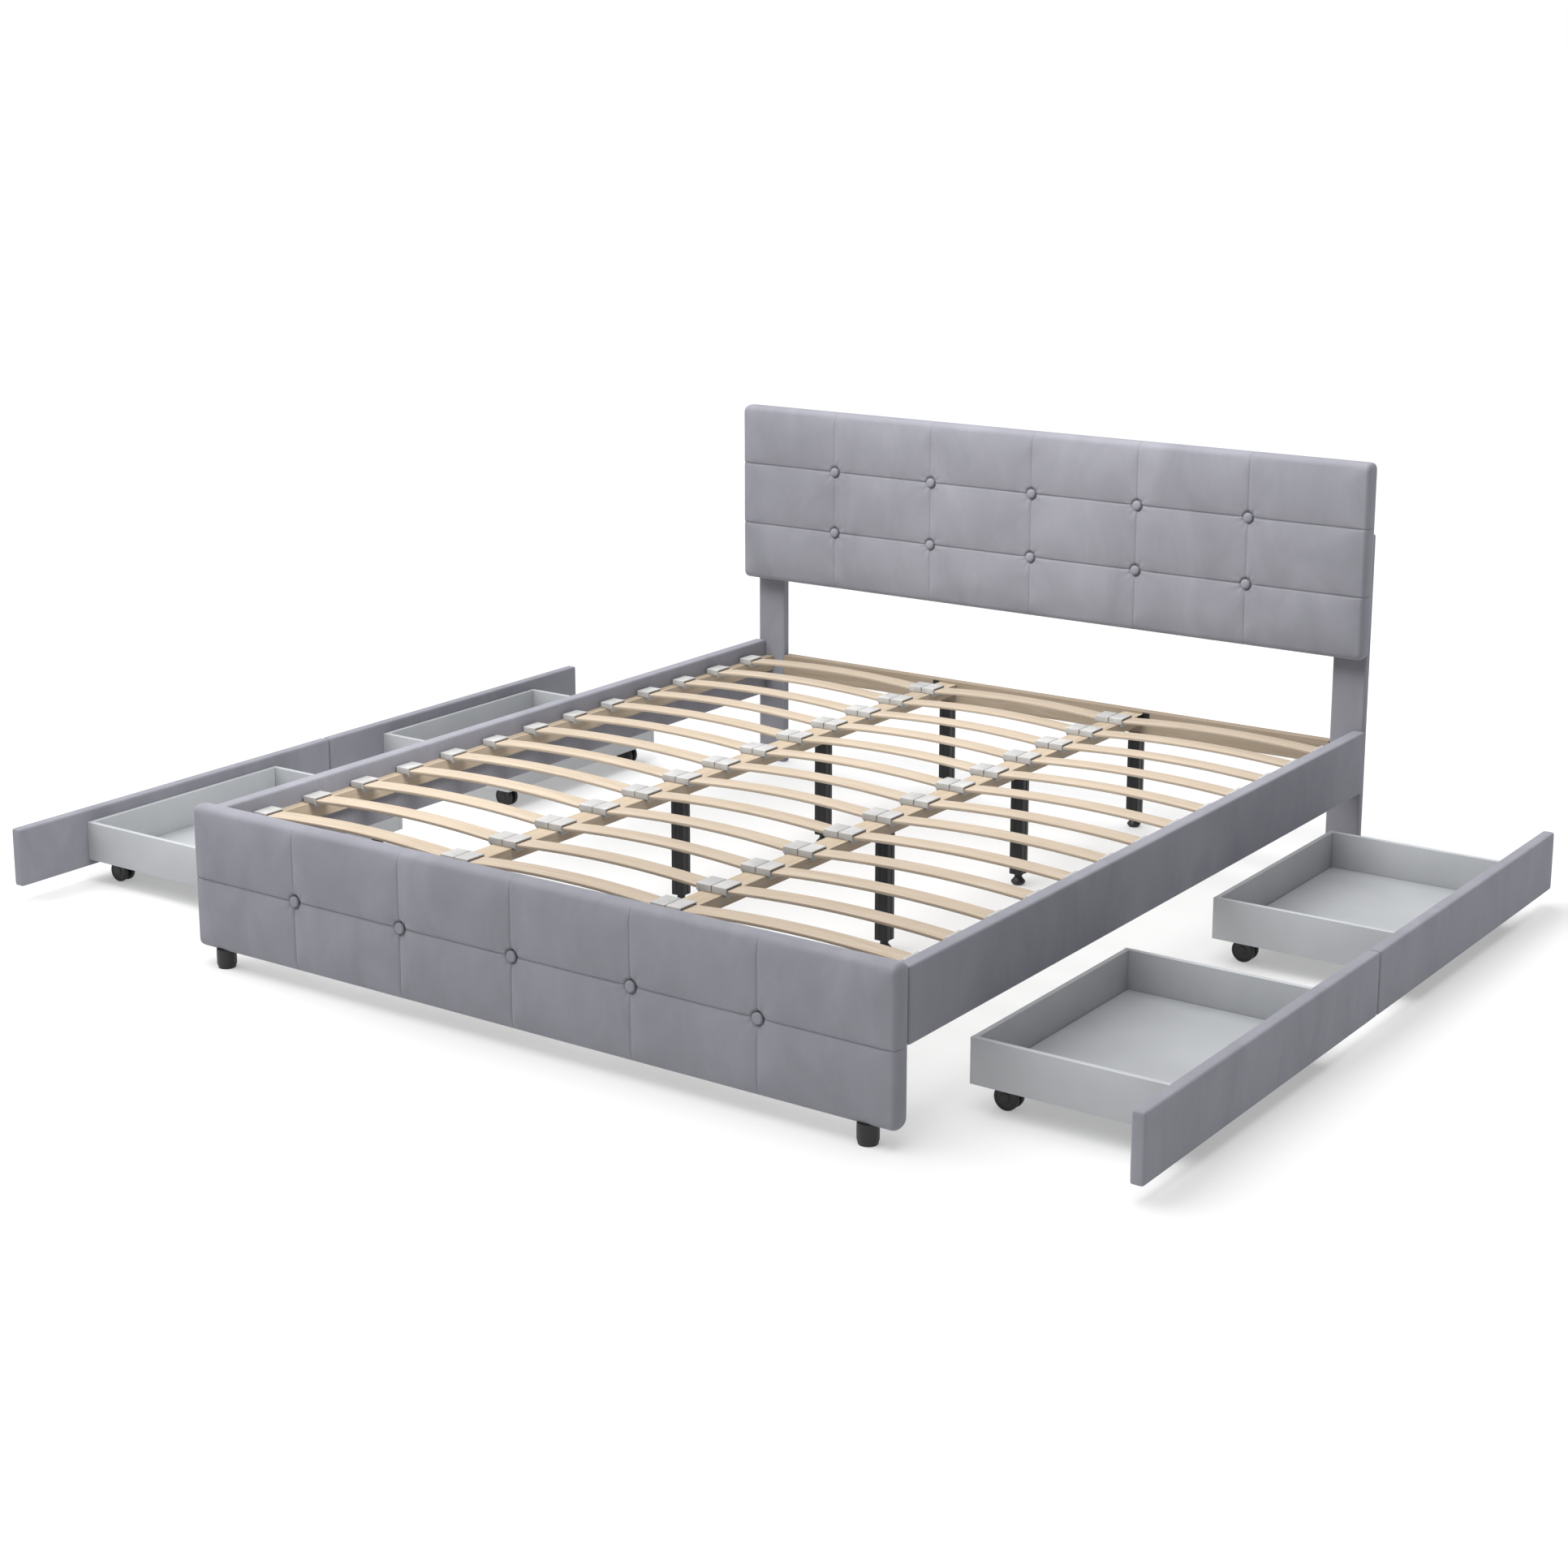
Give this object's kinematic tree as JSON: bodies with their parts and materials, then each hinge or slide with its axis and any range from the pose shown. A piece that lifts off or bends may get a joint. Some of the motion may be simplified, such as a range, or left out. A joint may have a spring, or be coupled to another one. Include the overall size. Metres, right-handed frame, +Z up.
{
  "type": "platform bed with storage drawers",
  "caption": "Upholstered platform bed with a tufted headboard, bowed wooden slats and low drawers on casters that roll out from under both sides.",
  "frame": {"origin": "on the floor, under the middle of the whole model with its drawers rolled out as stored", "axes": "+X across the bed to the right as seen from the foot end, +Y from the footboard to the headboard, +Z up"},
  "size_m": [3.076, 2.211, 1.037],
  "materials": {
    "velvet": "short-pile grey-lavender velvet",
    "backing_board": "covered board",
    "frame_wood": "planed, satin",
    "slat_wood": "laminated birch, satin",
    "grey_laminate": "light grey laminate",
    "black_metal": "black powder coat",
    "black_plastic": "moulded black plastic",
    "holder_plastic": "moulded light grey plastic"
  },
  "bodies": {
    "bed": {"headboard_pad": "velvet", "headboard_board": "backing_board", "headboard_post_left": "velvet", "headboard_post_right": "velvet", "footboard_pad": "velvet", "footboard_board": "backing_board", "footboard_foot_left": "black_plastic", "footboard_foot_right": "black_plastic", "side_rail_left": "velvet", "side_rail_right": "velvet", "head_cross_rail": "frame_wood", "foot_cross_rail": "frame_wood", "ledger_left": "frame_wood", "centre_rail_left": "frame_wood", "ledger_right": "frame_wood", "centre_rail_right": "frame_wood", "support_leg_head_left": "black_metal", "support_leg_head_right": "black_metal", "support_leg_middle_left": "black_metal", "support_leg_middle_right": "black_metal", "support_leg_foot_left": "black_metal", "support_leg_foot_right": "black_metal", "slat_row_01": "slat_wood", "slat_row_02": "slat_wood", "slat_row_03": "slat_wood", "slat_row_04": "slat_wood", "slat_row_05": "slat_wood", "slat_row_06": "slat_wood", "slat_row_07": "slat_wood", "slat_row_08": "slat_wood", "slat_row_09": "slat_wood", "slat_row_10": "slat_wood", "slat_row_11": "slat_wood", "slat_row_12": "slat_wood", "slat_row_13": "slat_wood"},
    "drawer_right_foot": {"drawer_front_right_foot": "velvet", "drawer_box_right_foot": "grey_laminate"},
    "caster_right_foot_back_foot": {"caster_wheel_right_foot_back_foot": "black_plastic"},
    "caster_right_foot_back_head": {"caster_wheel_right_foot_back_head": "black_plastic"},
    "caster_right_foot_front_foot": {"caster_wheel_right_foot_front_foot": "black_plastic"},
    "caster_right_foot_front_head": {"caster_wheel_right_foot_front_head": "black_plastic"},
    "drawer_right_head": {"drawer_front_right_head": "velvet", "drawer_box_right_head": "grey_laminate"},
    "caster_right_head_back_foot": {"caster_wheel_right_head_back_foot": "black_plastic"},
    "caster_right_head_back_head": {"caster_wheel_right_head_back_head": "black_plastic"},
    "caster_right_head_front_foot": {"caster_wheel_right_head_front_foot": "black_plastic"},
    "caster_right_head_front_head": {"caster_wheel_right_head_front_head": "black_plastic"},
    "drawer_left_foot": {"drawer_front_left_foot": "velvet", "drawer_box_left_foot": "grey_laminate"},
    "caster_left_foot_back_foot": {"caster_wheel_left_foot_back_foot": "black_plastic"},
    "caster_left_foot_back_head": {"caster_wheel_left_foot_back_head": "black_plastic"},
    "caster_left_foot_front_foot": {"caster_wheel_left_foot_front_foot": "black_plastic"},
    "caster_left_foot_front_head": {"caster_wheel_left_foot_front_head": "black_plastic"},
    "drawer_left_head": {"drawer_front_left_head": "velvet", "drawer_box_left_head": "grey_laminate"},
    "caster_left_head_back_foot": {"caster_wheel_left_head_back_foot": "black_plastic"},
    "caster_left_head_back_head": {"caster_wheel_left_head_back_head": "black_plastic"},
    "caster_left_head_front_foot": {"caster_wheel_left_head_front_foot": "black_plastic"},
    "caster_left_head_front_head": {"caster_wheel_left_head_front_head": "black_plastic"}
  },
  "joints": [
    {"name": "drawer_roll_right_foot", "type": "slide", "parent": "bed", "child": "drawer_right_foot", "axis": [1, 0, 0], "range_m": [-0.4965, 0.208]},
    {"name": "caster_spin_right_foot_back_foot", "type": "hinge", "parent": "drawer_right_foot", "child": "caster_right_foot_back_foot", "pos_m": [1.1057, -0.7785, 0.027], "axis": [0, 1, 0], "continuous": true},
    {"name": "caster_spin_right_foot_back_head", "type": "hinge", "parent": "drawer_right_foot", "child": "caster_right_foot_back_head", "pos_m": [1.1057, -0.2495, 0.027], "axis": [0, 1, 0], "continuous": true},
    {"name": "caster_spin_right_foot_front_foot", "type": "hinge", "parent": "drawer_right_foot", "child": "caster_right_foot_front_foot", "pos_m": [1.4497, -0.7785, 0.027], "axis": [0, 1, 0], "continuous": true},
    {"name": "caster_spin_right_foot_front_head", "type": "hinge", "parent": "drawer_right_foot", "child": "caster_right_foot_front_head", "pos_m": [1.4497, -0.2495, 0.027], "axis": [0, 1, 0], "continuous": true},
    {"name": "drawer_roll_right_head", "type": "slide", "parent": "bed", "child": "drawer_right_head", "axis": [1, 0, 0], "range_m": [-0.4965, 0.208]},
    {"name": "caster_spin_right_head_back_foot", "type": "hinge", "parent": "drawer_right_head", "child": "caster_right_head_back_foot", "pos_m": [1.1057, 0.2815, 0.027], "axis": [0, 1, 0], "continuous": true},
    {"name": "caster_spin_right_head_back_head", "type": "hinge", "parent": "drawer_right_head", "child": "caster_right_head_back_head", "pos_m": [1.1057, 0.8105, 0.027], "axis": [0, 1, 0], "continuous": true},
    {"name": "caster_spin_right_head_front_foot", "type": "hinge", "parent": "drawer_right_head", "child": "caster_right_head_front_foot", "pos_m": [1.4497, 0.2815, 0.027], "axis": [0, 1, 0], "continuous": true},
    {"name": "caster_spin_right_head_front_head", "type": "hinge", "parent": "drawer_right_head", "child": "caster_right_head_front_head", "pos_m": [1.4497, 0.8105, 0.027], "axis": [0, 1, 0], "continuous": true},
    {"name": "drawer_roll_left_foot", "type": "slide", "parent": "bed", "child": "drawer_left_foot", "axis": [-1, 0, 0], "range_m": [-0.7045, 0]},
    {"name": "caster_spin_left_foot_back_foot", "type": "hinge", "parent": "drawer_left_foot", "child": "caster_left_foot_back_foot", "pos_m": [-1.1057, -0.7785, 0.027], "axis": [0, 1, 0], "continuous": true},
    {"name": "caster_spin_left_foot_back_head", "type": "hinge", "parent": "drawer_left_foot", "child": "caster_left_foot_back_head", "pos_m": [-1.1057, -0.2495, 0.027], "axis": [0, 1, 0], "continuous": true},
    {"name": "caster_spin_left_foot_front_foot", "type": "hinge", "parent": "drawer_left_foot", "child": "caster_left_foot_front_foot", "pos_m": [-1.4497, -0.7785, 0.027], "axis": [0, 1, 0], "continuous": true},
    {"name": "caster_spin_left_foot_front_head", "type": "hinge", "parent": "drawer_left_foot", "child": "caster_left_foot_front_head", "pos_m": [-1.4497, -0.2495, 0.027], "axis": [0, 1, 0], "continuous": true},
    {"name": "drawer_roll_left_head", "type": "slide", "parent": "bed", "child": "drawer_left_head", "axis": [-1, 0, 0], "range_m": [-0.7045, 0]},
    {"name": "caster_spin_left_head_back_foot", "type": "hinge", "parent": "drawer_left_head", "child": "caster_left_head_back_foot", "pos_m": [-1.1057, 0.2815, 0.027], "axis": [0, 1, 0], "continuous": true},
    {"name": "caster_spin_left_head_back_head", "type": "hinge", "parent": "drawer_left_head", "child": "caster_left_head_back_head", "pos_m": [-1.1057, 0.8105, 0.027], "axis": [0, 1, 0], "continuous": true},
    {"name": "caster_spin_left_head_front_foot", "type": "hinge", "parent": "drawer_left_head", "child": "caster_left_head_front_foot", "pos_m": [-1.4497, 0.2815, 0.027], "axis": [0, 1, 0], "continuous": true},
    {"name": "caster_spin_left_head_front_head", "type": "hinge", "parent": "drawer_left_head", "child": "caster_left_head_front_head", "pos_m": [-1.4497, 0.8105, 0.027], "axis": [0, 1, 0], "continuous": true}
  ],
  "couplings": [
    {"joint": "caster_spin_right_foot_back_foot", "follows": "drawer_roll_right_foot", "rad_per_m": 37.037},
    {"joint": "caster_spin_right_foot_back_head", "follows": "drawer_roll_right_foot", "rad_per_m": 37.037},
    {"joint": "caster_spin_right_foot_front_foot", "follows": "drawer_roll_right_foot", "rad_per_m": 37.037},
    {"joint": "caster_spin_right_foot_front_head", "follows": "drawer_roll_right_foot", "rad_per_m": 37.037},
    {"joint": "caster_spin_right_head_back_foot", "follows": "drawer_roll_right_head", "rad_per_m": 37.037},
    {"joint": "caster_spin_right_head_back_head", "follows": "drawer_roll_right_head", "rad_per_m": 37.037},
    {"joint": "caster_spin_right_head_front_foot", "follows": "drawer_roll_right_head", "rad_per_m": 37.037},
    {"joint": "caster_spin_right_head_front_head", "follows": "drawer_roll_right_head", "rad_per_m": 37.037},
    {"joint": "caster_spin_left_foot_back_foot", "follows": "drawer_roll_left_foot", "rad_per_m": -37.037},
    {"joint": "caster_spin_left_foot_back_head", "follows": "drawer_roll_left_foot", "rad_per_m": -37.037},
    {"joint": "caster_spin_left_foot_front_foot", "follows": "drawer_roll_left_foot", "rad_per_m": -37.037},
    {"joint": "caster_spin_left_foot_front_head", "follows": "drawer_roll_left_foot", "rad_per_m": -37.037},
    {"joint": "caster_spin_left_head_back_foot", "follows": "drawer_roll_left_head", "rad_per_m": -37.037},
    {"joint": "caster_spin_left_head_back_head", "follows": "drawer_roll_left_head", "rad_per_m": -37.037},
    {"joint": "caster_spin_left_head_front_foot", "follows": "drawer_roll_left_head", "rad_per_m": -37.037},
    {"joint": "caster_spin_left_head_front_head", "follows": "drawer_roll_left_head", "rad_per_m": -37.037}
  ]
}
